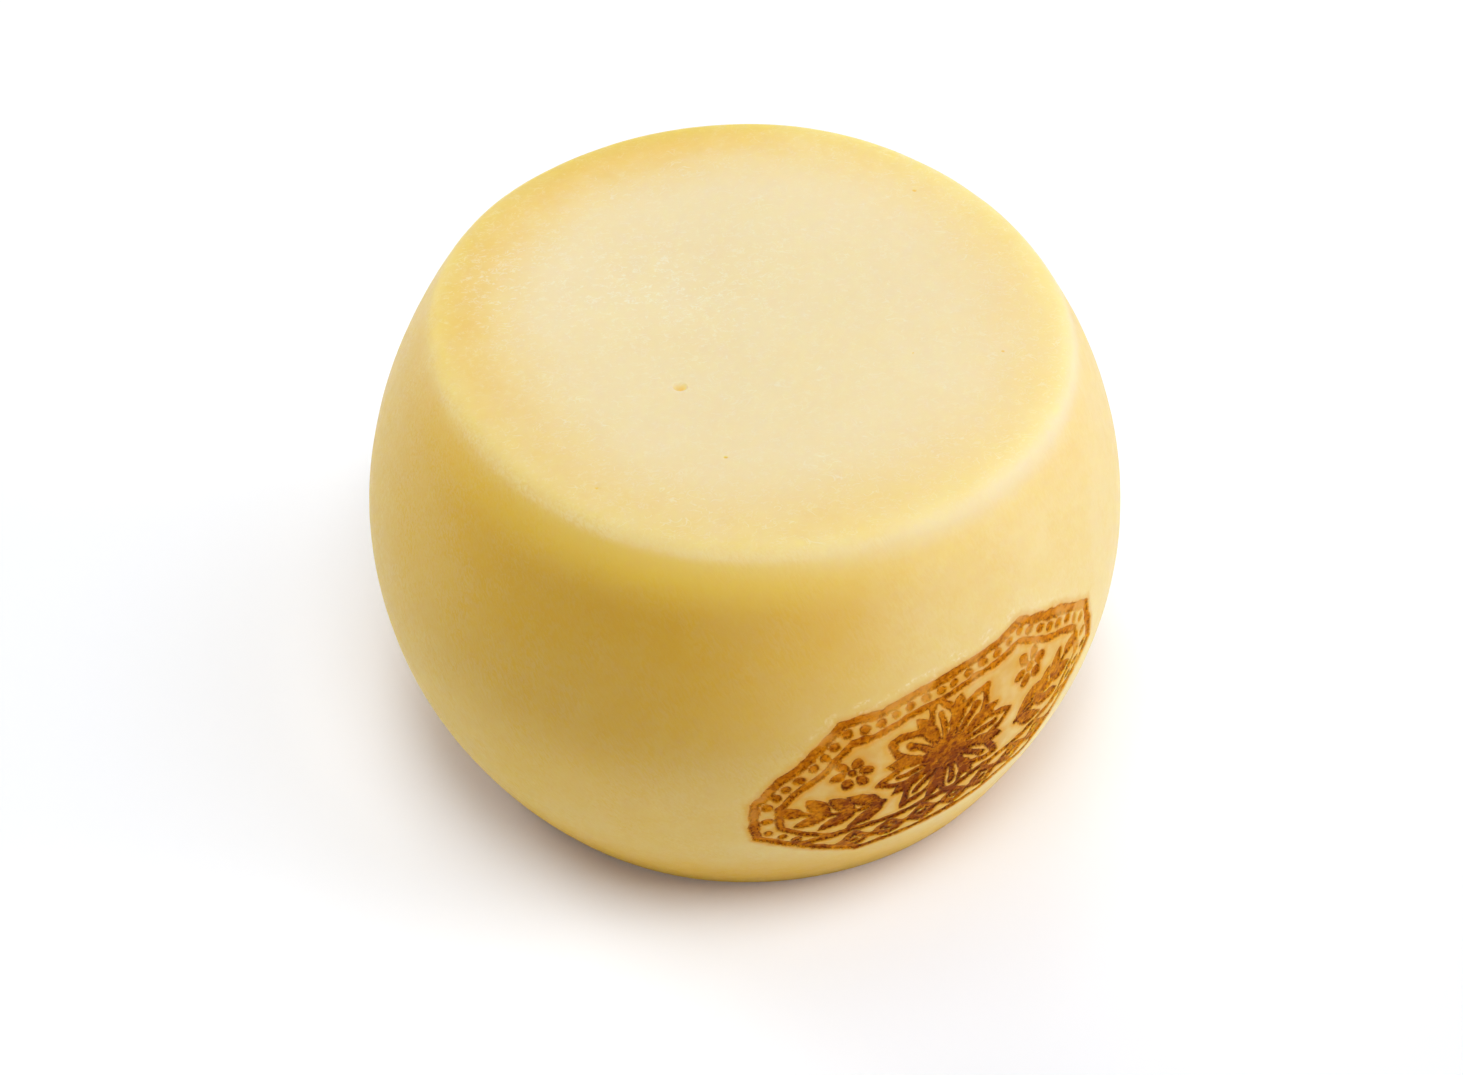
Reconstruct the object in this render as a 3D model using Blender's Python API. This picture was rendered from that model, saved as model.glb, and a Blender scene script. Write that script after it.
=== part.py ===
"""A small drum-shaped head of caciocavallo, a stretched-curd cheese, as one solid.

The side swells to a belly halfway up and narrows towards a flat foot and a soft-edged top face. The top
crowns a little in the middle. The whole was shaped by hand, so the top leans to one side, sits slightly
off the foot's centre and is a few tenths of a millimetre out of round, and it has one small curd pit.

Metres, +Z up. The origin is on the standing surface, under the middle of the cheese.
"""

import math

import bmesh
import bpy
from mathutils import Matrix, Vector

# The turned form. A reach is the height from the belly at which the side would arrive at its end radius
# if its edge weren't rounded off.
BELLY_RADIUS = 0.0650
TOP_REACH = 0.0431
TOP_END_RADIUS = 0.0510
TOP_CURVE_POWER = 1.82
TOP_EDGE_RADIUS = 0.0036
FOOT_REACH = 0.0430
FOOT_END_RADIUS = 0.0508
FOOT_CURVE_POWER = 1.98
FOOT_EDGE_RADIUS = 0.0027
CROWN_RISE = 0.0012
CROWN_POWER = 4.0

# The hand shaping, which fades from nothing at the belly to its full amount at the top or the foot.
TOP_LEAN = math.radians(2.35)
TOP_SHIFT = Vector((0.00143, 0.00023))
FOOT_SHIFT = Vector((0.00117, 0.00018))

# Out-of-round lobes: how many crests go round the cheese, how far a crest stands out, and one crest's
# bearing, counter-clockwise from +X. The last set raises and lowers the rim instead.
BELLY_LOBES = ((2, 0.00017, math.radians(-65)), (3, 0.00050, math.radians(14)))
TOP_LOBES = ((2, 0.00024, math.radians(-21)), (3, 0.00020, math.radians(2)))
RIM_HEIGHT_LOBES = ((2, 0.00016, math.radians(38)), (3, 0.00094, math.radians(-49)))

# The curd pit in the top face: where it is, and its half width, half length and depth.
PIT_CENTRE = Vector((-0.0104, -0.0172))
PIT_SIZE = Vector((0.0011, 0.0008, 0.0009))
PIT_TURN = math.radians(15)

# Fineness of the faceted surface.
STEPS_ROUND = 72
STEPS_SIDE = 10
STEPS_EDGE = 4
STEPS_TOP_FACE = 6
STEPS_FOOT_FACE = 2
SHARP_ANGLE = math.radians(40)
WELD_DISTANCE = 1e-6

CHEESE_COLOR = (0.86, 0.68, 0.32, 1.0)
CHEESE_ROUGHNESS = 0.45


def clear_scene():
    """Remove whatever the scene holds."""
    for old in list(bpy.data.objects):
        bpy.data.objects.remove(old, do_unlink=True)


def side_and_edge(reach, end_radius, power, edge_radius, face_slope):
    """Return (radius, height) points from the belly to the end of the rounded edge, heights upwards.

    The side falls away from the belly as a power of the height. The edge is an arc that leaves the side
    along its tangent and ends where it is inclined as the face that it meets.
    """
    side_end = reach - edge_radius
    narrowing = BELLY_RADIUS - end_radius
    points = []
    for step in range(STEPS_SIDE + 1):
        height = side_end * step / STEPS_SIDE
        points.append((BELLY_RADIUS - narrowing * (height / reach) ** power, height))
    start = math.atan(narrowing * power / reach * (side_end / reach) ** (power - 1))
    centre_radius = points[-1][0] - edge_radius * math.cos(start)
    centre_height = side_end - edge_radius * math.sin(start)
    end = math.pi / 2 - face_slope
    for step in range(1, STEPS_EDGE + 1):
        angle = start + (end - start) * step / STEPS_EDGE
        radius = centre_radius + edge_radius * math.cos(angle)
        points.append((radius, centre_height + edge_radius * math.sin(angle)))
    return points


def top_outline():
    """Return the points from the belly over the top edge to the axis, and the rim's height."""
    rim_slope = math.atan(CROWN_RISE * CROWN_POWER / TOP_END_RADIUS)
    points = side_and_edge(TOP_REACH, TOP_END_RADIUS, TOP_CURVE_POWER, TOP_EDGE_RADIUS, rim_slope)
    rim_radius, rim_height = points[-1]
    for step in range(STEPS_TOP_FACE - 1, -1, -1):
        share = step / STEPS_TOP_FACE
        points.append((rim_radius * share, rim_height + CROWN_RISE * (1 - share ** CROWN_POWER)))
    return points, rim_height


def foot_outline():
    """Return the points from the belly under the foot's edge to the axis, and the foot's depth."""
    points = side_and_edge(FOOT_REACH, FOOT_END_RADIUS, FOOT_CURVE_POWER, FOOT_EDGE_RADIUS, 0.0)
    rim_radius, depth = points[-1]
    for step in range(STEPS_FOOT_FACE - 1, -1, -1):
        points.append((rim_radius * step / STEPS_FOOT_FACE, depth))
    return [(radius, -height) for radius, height in points], depth


def lobes_at(lobes, bearing):
    """Return how far the lobes stand out at a bearing."""
    return sum(height * math.cos(crests * (bearing - crest)) for crests, height, crest in lobes)


def hand_shape(place, top_height, foot_depth):
    """Return where a point of the true turned form lies on the hand-shaped cheese."""
    full_height = top_height if place.z > 0 else foot_depth
    share = min(1.0, (place.z / full_height) ** 2)
    bearing = math.atan2(place.y, place.x)
    bulge = (1 - share) * lobes_at(BELLY_LOBES, bearing)
    if place.z > 0:
        bulge += share * lobes_at(TOP_LOBES, bearing)
    x = place.x * (1 + bulge / BELLY_RADIUS)
    y = place.y * (1 + bulge / BELLY_RADIUS)
    if place.z <= 0:
        return Vector((x + share * FOOT_SHIFT.x, y + share * FOOT_SHIFT.y, place.z))
    outward = math.hypot(x, y) / BELLY_RADIUS
    lift = lobes_at(RIM_HEIGHT_LOBES, bearing) * outward - math.tan(TOP_LEAN) * x
    return Vector((x + share * TOP_SHIFT.x, y + share * TOP_SHIFT.y, place.z + share * lift))


def cheese_material():
    """Return the cheese's plain material."""
    material = bpy.data.materials.new("cheese")
    material.use_nodes = True
    shader = material.node_tree.nodes["Principled BSDF"]
    shader.inputs["Base Color"].default_value = CHEESE_COLOR
    shader.inputs["Roughness"].default_value = CHEESE_ROUGHNESS
    shader.inputs["Metallic"].default_value = 0.0
    return material


def pit_cutter(top):
    """Return the small turned ellipsoid that cuts the curd pit, centred on the top face.

    top is the height of the top face there.
    """
    mesh = bpy.data.meshes.new("curd_pit_cutter")
    bm = bmesh.new()
    bmesh.ops.create_icosphere(bm, subdivisions=2, radius=1.0)
    place = Matrix.Translation((PIT_CENTRE.x, PIT_CENTRE.y, top)) @ Matrix.Rotation(PIT_TURN, 4, "Z")
    bm.transform(place @ Matrix.Diagonal(PIT_SIZE).to_4x4())
    bm.to_mesh(mesh)
    bm.free()
    cutter = bpy.data.objects.new("curd_pit_cutter", mesh)
    bpy.context.collection.objects.link(cutter)
    cutter.hide_render = True
    cutter.display_type = "WIRE"
    return cutter


def turned_form(profile):
    """Return a closed bmesh, the profile of (radius, height) points turned round the vertical axis."""
    bm = bmesh.new()
    ring = [bm.verts.new((radius, 0.0, height)) for radius, height in profile]
    edges = [bm.edges.new(pair) for pair in zip(ring, ring[1:])]
    bmesh.ops.spin(
        bm,
        geom=ring + edges,
        cent=(0.0, 0.0, 0.0),
        axis=(0.0, 0.0, 1.0),
        angle=math.tau,
        steps=STEPS_ROUND,
        use_merge=True,
    )
    bmesh.ops.remove_doubles(bm, verts=bm.verts, dist=WELD_DISTANCE)
    bmesh.ops.recalc_face_normals(bm, faces=bm.faces)
    return bm


def make_cheese():
    """Build the head of cheese and stand it on its foot, centred over the origin."""
    top_points, rim_height = top_outline()
    foot_points, foot_depth = foot_outline()
    bm = turned_form(top_points[::-1] + foot_points[1:])
    for vert in bm.verts:
        vert.co = hand_shape(vert.co, rim_height, foot_depth)
    low = [min(vert.co[axis] for vert in bm.verts) for axis in range(3)]
    high = [max(vert.co[axis] for vert in bm.verts) for axis in range(3)]
    middle = Vector(((low[0] + high[0]) / 2, (low[1] + high[1]) / 2, low[2]))
    bmesh.ops.translate(bm, verts=bm.verts, vec=-middle)

    mesh = bpy.data.meshes.new("cheese")
    bm.to_mesh(mesh)
    bm.free()
    mesh.materials.append(cheese_material())
    mesh.shade_smooth()
    mesh.set_sharp_from_angle(angle=SHARP_ANGLE)
    cheese = bpy.data.objects.new("cheese", mesh)
    bpy.context.collection.objects.link(cheese)

    hit, spot, _, _ = cheese.ray_cast((PIT_CENTRE.x, PIT_CENTRE.y, 1.0), (0.0, 0.0, -1.0))
    if hit:
        pit = cheese.modifiers.new("curd_pit", "BOOLEAN")
        pit.operation = "DIFFERENCE"
        pit.object = pit_cutter(spot.z)
    return cheese


clear_scene()
make_cheese()
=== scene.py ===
"""A small drum-shaped head of caciocavallo, dressed: its fine surface, its rind and a hot-iron mark.

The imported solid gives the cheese's place and size. A finer surface of the same turned and hand-shaped form
replaces it. That surface is laid out flat first, as a map that measures along the rind from the middle of
the top face, made finer where the mark and the curd pits lie, and then wrapped round the form. Relief,
the pits and the burnt grooves move it along its own normals.

Lengths are metres. A name that ends in _mm holds millimetres, which the finishes use for their patterns.
A bearing is counter-clockwise from +X. A place on the rind is given by how far it lies along the rind from
the middle of the top face, and by its bearing.
"""

import logging
import math
from dataclasses import dataclass, field
from enum import Enum
from functools import cached_property
from typing import Callable

import bmesh
import bpy
import numpy as np
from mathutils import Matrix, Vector, noise


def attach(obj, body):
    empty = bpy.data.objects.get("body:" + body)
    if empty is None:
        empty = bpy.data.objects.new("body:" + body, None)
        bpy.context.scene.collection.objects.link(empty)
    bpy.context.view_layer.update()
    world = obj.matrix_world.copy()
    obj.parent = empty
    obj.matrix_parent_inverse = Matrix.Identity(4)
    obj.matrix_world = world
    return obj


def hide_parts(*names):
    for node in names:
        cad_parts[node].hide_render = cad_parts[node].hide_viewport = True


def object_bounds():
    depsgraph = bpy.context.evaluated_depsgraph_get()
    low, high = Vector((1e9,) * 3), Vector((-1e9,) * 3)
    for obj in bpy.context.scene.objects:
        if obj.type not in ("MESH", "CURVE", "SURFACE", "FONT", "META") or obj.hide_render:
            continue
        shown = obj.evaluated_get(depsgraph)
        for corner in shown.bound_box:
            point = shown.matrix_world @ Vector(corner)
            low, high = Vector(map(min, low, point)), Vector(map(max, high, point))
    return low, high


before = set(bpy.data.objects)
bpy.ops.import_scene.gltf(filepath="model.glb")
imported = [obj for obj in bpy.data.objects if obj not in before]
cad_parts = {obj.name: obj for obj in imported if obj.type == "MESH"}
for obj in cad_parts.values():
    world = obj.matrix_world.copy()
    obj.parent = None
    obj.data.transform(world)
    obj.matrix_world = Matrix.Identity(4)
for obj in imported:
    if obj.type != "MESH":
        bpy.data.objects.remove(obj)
CAD_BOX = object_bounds()

LOG = logging.getLogger("cheese")
MM = 0.001
CHEESE_NODE = "cheese"
BODY = "root"
PHOTO_SIZE_PX = (1463, 1075)
NOISE_MIDDLE = 0.5

Array = np.ndarray
Socket = bpy.types.NodeSocket
Triple = tuple[float, float, float]


# --- Soft steps, noise, waves and patches ------------------------------------------------------------------


def smooth_step(value: Array, low: float, high: float) -> Array:
    """Return 0 at low and 1 at high, with a soft start and end between them."""
    share = np.clip((value - low) / (high - low), 0.0, 1.0)
    return share * share * (3 - 2 * share)


def bell(away: Array, width: float) -> Array:
    """Return 1 where away is 0, falling softly to almost nothing two widths off."""
    return np.exp(-((away / width) ** 2))


def turn_from(bearing: Array, middle: float) -> Array:
    """Return how far each bearing is turned from a middle one, the short way round."""
    return np.arctan2(np.sin(bearing - middle), np.cos(bearing - middle))


def noise_at(*columns: Array | float) -> Array:
    """Return soft noise, about -1 to 1, at places given as a column for each of their coordinates."""
    return np.array([noise.noise(spot) for spot in zip(*np.broadcast_arrays(*columns))])


@dataclass(frozen=True)
class Span:
    """A soft change of one value with another: start where that is low, and end where it is high."""

    low: float
    high: float
    start: float = 0.0
    end: float = 1.0

    def at(self, value: Array) -> Array:
        """Return what each value becomes."""
        return self.start + (self.end - self.start) * smooth_step(value, self.low, self.high)


@dataclass(frozen=True)
class Lobe:
    """One wave round the cheese that puts it a little out of round, in belly radii."""

    crests: int
    height: float
    crest_bearing: float

    def at(self, bearing: Array) -> Array:
        """Return how far the wave stands out at each bearing."""
        return self.height * np.cos(self.crests * (bearing - self.crest_bearing))


@dataclass(frozen=True)
class Patch:
    """A stretch of bearings over which the rind has a little more or less of something."""

    bearing: float
    half_width: float
    amount: float

    def at(self, bearing: Array) -> Array:
        """Return the amount at each bearing, which fades softly away from the patch's middle."""
        return self.amount * bell(turn_from(bearing, self.bearing), self.half_width)


def together(parts: tuple[Lobe | Patch, ...], bearing: Array) -> Array:
    """Return what waves or patches amount to together at each bearing."""
    return sum(part.at(bearing) for part in parts)


# --- The form ----------------------------------------------------------------------------------------------


@dataclass(frozen=True)
class HalfForm:
    """Half of the turned form, from the middle of a face over its rounded edge to the belly.

    All sizes are in belly radii. The reach is the height above the belly at which the side would arrive
    at its end radius if its edge weren't rounded off.
    """

    reach: float
    end_radius: float
    power: float
    edge_radius: float
    crown_rise: float = 0.0
    crown_power: float = 4.0

    def outline(self, points: int = 600) -> tuple[Array, Array, int, int]:
        """Work out the half's outline from the face's middle to the belly.

        Args:
            points: how many points each of its three stretches gets.

        Returns:
            The radii, the heights above the belly, and the places in them where the face and the edge end.
        """
        side_end = self.reach - self.edge_radius
        narrowing = 1.0 - self.end_radius
        slope = narrowing * self.power / self.reach * (side_end / self.reach) ** (self.power - 1)
        start = math.atan(slope)
        stop = math.pi / 2 - math.atan(self.crown_rise * self.crown_power / self.end_radius)
        side_height = np.linspace(side_end, 0.0, points)
        side_radius = 1.0 - narrowing * (side_height / self.reach) ** self.power
        angle = np.linspace(stop, start, points)
        edge_radius = side_radius[0] + self.edge_radius * (np.cos(angle) - math.cos(start))
        edge_height = side_end + self.edge_radius * (np.sin(angle) - math.sin(start))
        share = np.linspace(0.0, 1.0, points)
        face_radius = edge_radius[0] * share
        face_height = edge_height[0] + self.crown_rise * (1.0 - share**self.crown_power)
        radius = np.concatenate([face_radius, edge_radius[1:], side_radius[1:]])
        height = np.concatenate([face_height, edge_height[1:], side_height[1:]])
        return radius, height, points - 1, 2 * points - 2


@dataclass(frozen=True)
class HandShaping:
    """What shaping by hand does to the turned form, from nothing at the belly to all at the faces.

    Shifts and lobes are in belly radii, the lean in radians.
    """

    top_lean: float = math.radians(2.35)
    top_shift: tuple[float, float] = (0.0220, 0.0035)
    foot_shift: tuple[float, float] = (0.0180, 0.0028)
    belly_lobes: tuple[Lobe, ...] = (
        Lobe(2, 0.0026, math.radians(-65)),
        Lobe(3, 0.0077, math.radians(14)),
    )
    top_lobes: tuple[Lobe, ...] = (
        Lobe(2, 0.0037, math.radians(-21)),
        Lobe(3, 0.0031, math.radians(2)),
    )
    rim_height_lobes: tuple[Lobe, ...] = (
        Lobe(2, 0.0025, math.radians(38)),
        Lobe(3, 0.0145, math.radians(-49)),
    )

    def shape(self, radius: Array, height: Array, bearing: Array, rim: float, foot: float) -> Array:
        """Move points of the turned form to where they lie on the hand-shaped cheese.

        Args:
            radius: each point's distance from the axis.
            height: each point's height above the belly.
            bearing: each point's bearing.
            rim: the height of the top face's rim.
            foot: the depth of the foot below the belly.

        Returns:
            The x, y and z of each point, in belly radii.
        """
        above = height > 0
        share = np.minimum(1.0, (height / np.where(above, rim, foot)) ** 2)
        bulge = (1 - share) * together(self.belly_lobes, bearing)
        bulge = bulge + np.where(above, share, 0.0) * together(self.top_lobes, bearing)
        x = radius * (1 + bulge) * np.cos(bearing)
        y = radius * (1 + bulge) * np.sin(bearing)
        lift = together(self.rim_height_lobes, bearing) * np.hypot(x, y) - math.tan(self.top_lean) * x
        shift_x = np.where(above, self.top_shift[0], self.foot_shift[0])
        shift_y = np.where(above, self.top_shift[1], self.foot_shift[1])
        z = height + np.where(above, share * lift, 0.0)
        return np.stack([x + share * shift_x, y + share * shift_y, z], axis=-1)


@dataclass
class CheeseForm:
    """The whole form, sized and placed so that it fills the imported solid's box.

    The stops, from the top face's end to the whole length, are distances along the rind.
    """

    box: tuple[Vector, Vector]
    top: HalfForm = HalfForm(0.6631, 0.7846, 1.82, 0.0554, crown_rise=0.0185)
    foot: HalfForm = HalfForm(0.6615, 0.7815, 1.98, 0.0415)
    shaping: HandShaping = HandShaping()
    measured_bearings: int = 360
    measured_stride: int = 4
    search_bearings: int = 721
    search_steps: int = 400
    scale: float = field(init=False)
    belly_centre: Vector = field(init=False)
    face_end: float = field(init=False)
    edge_end: float = field(init=False)
    belly: float = field(init=False)
    foot_edge_start: float = field(init=False)
    foot_face_start: float = field(init=False)
    length: float = field(init=False)

    def __post_init__(self) -> None:
        """Join the two halves into one outline and fit it to the box."""
        top_radius, top_height, face_end, edge_end = self.top.outline()
        foot_radius, foot_height, foot_face_end, foot_edge_end = self.foot.outline()
        self._radius = np.concatenate([top_radius, foot_radius[-2::-1]])
        self._height = np.concatenate([top_height, -foot_height[-2::-1]])
        self._rim = float(top_height[face_end])
        self._foot_depth = float(foot_height[0])
        low, high = self._unscaled_box()
        cad_low, cad_high = (np.array(corner) for corner in self.box)
        self.scale = float((cad_high[2] - cad_low[2]) / (high[2] - low[2]))
        middle = (cad_low + cad_high) / 2 - self.scale * (low + high) / 2
        middle[2] = cad_low[2] - self.scale * low[2]
        self.belly_centre = Vector(middle)
        steps = np.hypot(np.diff(self._radius), np.diff(self._height))
        self._along = np.concatenate([[0.0], np.cumsum(steps)]) * self.scale
        last = len(self._radius) - 1
        self.face_end = float(self._along[face_end])
        self.edge_end = float(self._along[edge_end])
        self.belly = float(self._along[len(top_radius) - 1])
        self.foot_edge_start = float(self._along[last - foot_edge_end])
        self.foot_face_start = float(self._along[last - foot_face_end])
        self.length = float(self._along[last])

    def _unscaled_box(self) -> tuple[Array, Array]:
        """Measure the form while it is still in belly radii.

        Returns:
            Its lowest and its highest corner.
        """
        bearing = np.linspace(0.0, math.tau, self.measured_bearings, endpoint=False)
        radius = self._radius[:: self.measured_stride, None]
        height = self._height[:: self.measured_stride, None]
        places = self.shaping.shape(radius, height, bearing, self._rim, self._foot_depth).reshape(-1, 3)
        return places.min(axis=0), places.max(axis=0)

    @property
    def foot_turn_mm(self) -> float:
        """Return how far the foot's rounded edge runs along the rind."""
        return (self.foot_face_start - self.foot_edge_start) / MM

    def radius_at(self, along: Array) -> Array:
        """Return the turned form's radius at each distance along the rind."""
        return np.interp(along, self._along, self._radius) * self.scale

    def places(self, along: Array, bearing: Array) -> Array:
        """Find places on the hand-shaped rind.

        Args:
            along: each place's distance along the rind.
            bearing: each place's bearing.

        Returns:
            The x, y and z of each place.
        """
        radius = np.interp(along, self._along, self._radius)
        height = np.interp(along, self._along, self._height)
        shaped = self.shaping.shape(radius, height, bearing, self._rim, self._foot_depth)
        return shaped * self.scale + np.array(self.belly_centre)

    def nearest(self, x: float, y: float) -> tuple[float, float]:
        """Find a point of the top face.

        Args:
            x: the point's x.
            y: the point's y.

        Returns:
            Its distance along the rind and its bearing.
        """
        along = np.linspace(0.0, self.face_end, self.search_steps)
        bearing = np.linspace(-math.pi, math.pi, self.search_bearings)
        spots = self.places(along, bearing[:, None])
        gap = np.hypot(spots[..., 0] - x, spots[..., 1] - y)
        turn, step = np.unravel_index(gap.argmin(), gap.shape)
        return float(along[step]), float(bearing[turn])


# --- The flat map of the rind ------------------------------------------------------------------------------


@dataclass
class RindMap:
    """The rind laid out flat, as a bmesh whose x and y run along the rind from the top face's middle."""

    form: CheeseForm
    shells: int = 41
    edge_step: float = 0.6 * MM
    side_step: float = 1.2 * MM
    fewest_steps: int = 2

    def rings(self) -> Array:
        """Space out the rings between the rims of the top face and the foot.

        Returns:
            Their distances along the rind.
        """
        form = self.form
        stretches = (
            (form.face_end, form.edge_end, self.edge_step),
            (form.edge_end, form.foot_edge_start, self.side_step),
            (form.foot_edge_start, form.foot_face_start, self.edge_step),
        )
        rings = []
        for start, stop, step in stretches:
            count = max(self.fewest_steps, round((stop - start) / step))
            rings.append(np.linspace(start, stop, count + 1)[1:])
        return np.concatenate(rings)[:-1]

    def squeezed_square(self) -> tuple[Array, Array]:
        """Squeeze a square grid into a disc, so that its square shells become rings.

        Returns:
            Each grid point's share of the disc's radius and its bearing, as square arrays.
        """
        steps = np.arange(-self.shells, self.shells + 1) / self.shells
        a, b = np.meshgrid(steps, steps, indexing="ij")
        wide = np.abs(a) > np.abs(b)
        safe_a = np.where(a == 0, 1.0, a)
        safe_b = np.where(b == 0, 1.0, b)
        share = np.where(wide, a, b)
        angle = np.where(wide, math.pi / 4 * b / safe_a, math.pi / 2 - math.pi / 4 * a / safe_b)
        x, y = share * np.cos(angle), share * np.sin(angle)
        return np.hypot(x, y), np.arctan2(y, x)

    def build(self) -> bmesh.types.BMesh:
        """Lay out the whole rind: a disc for each face and the rings of the side between them.

        Returns:
            The flat map.
        """
        bm = bmesh.new()
        share, bearing = self.squeezed_square()
        top = self._grid(bm, share * self.form.face_end, bearing)
        depth = self.form.length - self.form.foot_face_start
        foot = self._grid(bm, self.form.length - share * depth, bearing)
        border = self._border(len(share))
        ring = [top[i][j] for i, j in border]
        turn = [bearing[i, j] for i, j in border]
        for along in self.rings():
            further = [self._vert(bm, along, angle) for angle in turn]
            self._band(bm, ring, further)
            ring = further
        self._band(bm, ring, [foot[i][j] for i, j in border])
        self._faces(bm, top, False)
        self._faces(bm, foot, True)
        return bm

    def _vert(self, bm: bmesh.types.BMesh, along: float, bearing: float) -> bmesh.types.BMVert:
        """Add one corner of the map."""
        return bm.verts.new((along * math.cos(bearing), along * math.sin(bearing), 0.0))

    def _grid(self, bm: bmesh.types.BMesh, along: Array, bearing: Array) -> list[list]:
        """Add the corners of a face's disc and return them row by row."""
        size = range(len(along))
        return [[self._vert(bm, along[i, j], bearing[i, j]) for j in size] for i in size]

    def _border(self, size: int) -> list[tuple[int, int]]:
        """Walk round a square grid's border.

        Args:
            size: how many places the grid has each way.

        Returns:
            The border's places, counter-clockwise.
        """
        last = size - 1
        right = [(last, j) for j in range(last)]
        back = [(i, last) for i in range(last, 0, -1)]
        left = [(0, j) for j in range(last, 0, -1)]
        front = [(i, 0) for i in range(last)]
        return right + back + left + front

    def _band(self, bm: bmesh.types.BMesh, inner: list, outer: list) -> None:
        """Add the band of faces between two rings."""
        for corners in zip(inner, outer, outer[1:] + outer[:1], inner[1:] + inner[:1]):
            bm.faces.new(corners)

    def _faces(self, bm: bmesh.types.BMesh, grid: list[list], mirrored: bool) -> None:
        """Add the faces of a disc.

        Args:
            bm: the flat map.
            grid: the disc's corners, row by row.
            mirrored: whether its faces are turned over, as those of the foot are.
        """
        for row, following in zip(grid, grid[1:]):
            for corners in zip(row, following, following[1:], row[1:]):
                bm.faces.new(corners[::-1] if mirrored else corners)


def map_coordinates(bm: bmesh.types.BMesh) -> tuple[Array, Array]:
    """Return the distance along the rind and the bearing of every corner of a flat map."""
    flat = np.array([vert.co[:2] for vert in bm.verts])
    return np.hypot(flat[:, 0], flat[:, 1]), np.arctan2(flat[:, 1], flat[:, 0])


def refine(bm: bmesh.types.BMesh, inside: Callable[[float, float], bool], cuts: int) -> None:
    """Split the faces of a flat map where its surface needs more detail.

    Args:
        bm: the flat map.
        inside: says of a distance along the rind and a bearing whether the map is split there.
        cuts: how many times each edge is cut.
    """
    chosen = []
    for face in bm.faces:
        middle = face.calc_center_median()
        if inside(math.hypot(middle.x, middle.y), math.atan2(middle.y, middle.x)):
            chosen.append(face)
    edges = {edge for face in chosen for edge in face.edges}
    bmesh.ops.subdivide_edges(bm, edges=list(edges), cuts=cuts, use_grid_fill=True)


# --- The hot-iron mark -------------------------------------------------------------------------------------


class Stroke(Enum):
    """The widths of the iron's strokes, in millimetres."""

    PLAIN = 1.5
    FINE = 1.15


def turned(u: Array, v: Array, angle: float) -> tuple[Array, Array]:
    """Return how far points lie along and across a direction."""
    cosine, sine = math.cos(angle), math.sin(angle)
    return u * cosine + v * sine, v * cosine - u * sine


def outline(edge: Array, stroke: Stroke) -> Array:
    """Return the signed distance to a stroke that follows a shape's edge."""
    return np.abs(edge) - stroke.value / 2


def line(u: Array, v: Array, start: tuple, end: tuple, stroke: Stroke) -> Array:
    """Draw a straight, round-ended stroke.

    Args:
        u: how far each place lies along the plate.
        v: how far each place lies up the plate.
        start: the u and v of one end.
        end: the u and v of the other end.
        stroke: the stroke's width.

    Returns:
        The signed distance of each place to the stroke, below 0 inside it.
    """
    run = np.array(end) - np.array(start)
    share = ((u - start[0]) * run[0] + (v - start[1]) * run[1]) / (run @ run)
    share = np.clip(share, 0.0, 1.0)
    return np.hypot(u - start[0] - share * run[0], v - start[1] - share * run[1]) - stroke.value / 2


def leaf(along: Array, across: Array, start: float, end: float, half_width: float) -> Array:
    """Draw a pointed leaf between two arcs.

    Args:
        along: how far each place lies along the leaf's direction.
        across: how far each place lies across it.
        start: where along the direction the leaf starts.
        end: where along the direction it ends.
        half_width: half its width in the middle.

    Returns:
        The signed distance of each place to the leaf, below 0 inside it.
    """
    half_length = (end - start) / 2
    arc = (half_length**2 + half_width**2) / (2 * half_width)
    along = along - start - half_length
    side = np.abs(across) + arc - half_width
    return np.maximum(np.hypot(along, side) - arc, np.abs(along) - half_length)


@dataclass(frozen=True)
class Rosette:
    """A compass-drawn rosette of pointed petals with darts between them."""

    middle_mm: tuple[float, float] = (-1.0, 1.8)
    radius_mm: float = 12.8
    petals: int = 8
    petal_half_width_mm: float = 2.5
    first_petal: float = math.radians(90)
    vein_mm: tuple[float, float] = (3.0, 9.4)
    core_radius_mm: float = 4.2
    dart_mm: tuple[float, float] = (4.0, 11.8)
    dart_half_width_mm: float = 1.4

    def strokes(self, u: Array, v: Array) -> list[Array]:
        """Draw the rosette.

        Args:
            u: how far each place lies along the plate.
            v: how far each place lies up the plate.

        Returns:
            The signed distance to each of its strokes.
        """
        u, v = u - self.middle_mm[0], v - self.middle_mm[1]
        vein_start, vein_end = ((end, 0.0) for end in self.vein_mm)
        found = [np.hypot(u, v) - self.core_radius_mm]
        for petal in range(self.petals):
            angle = self.first_petal + math.tau * petal / self.petals
            along, across = turned(u, v, angle)
            edge = leaf(along, across, 0.0, self.radius_mm, self.petal_half_width_mm)
            found.append(outline(edge, Stroke.FINE))
            found.append(line(along, across, vein_start, vein_end, Stroke.FINE))
            along, across = turned(u, v, angle + math.pi / self.petals)
            found.append(leaf(along, across, *self.dart_mm, self.dart_half_width_mm))
        return found


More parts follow.
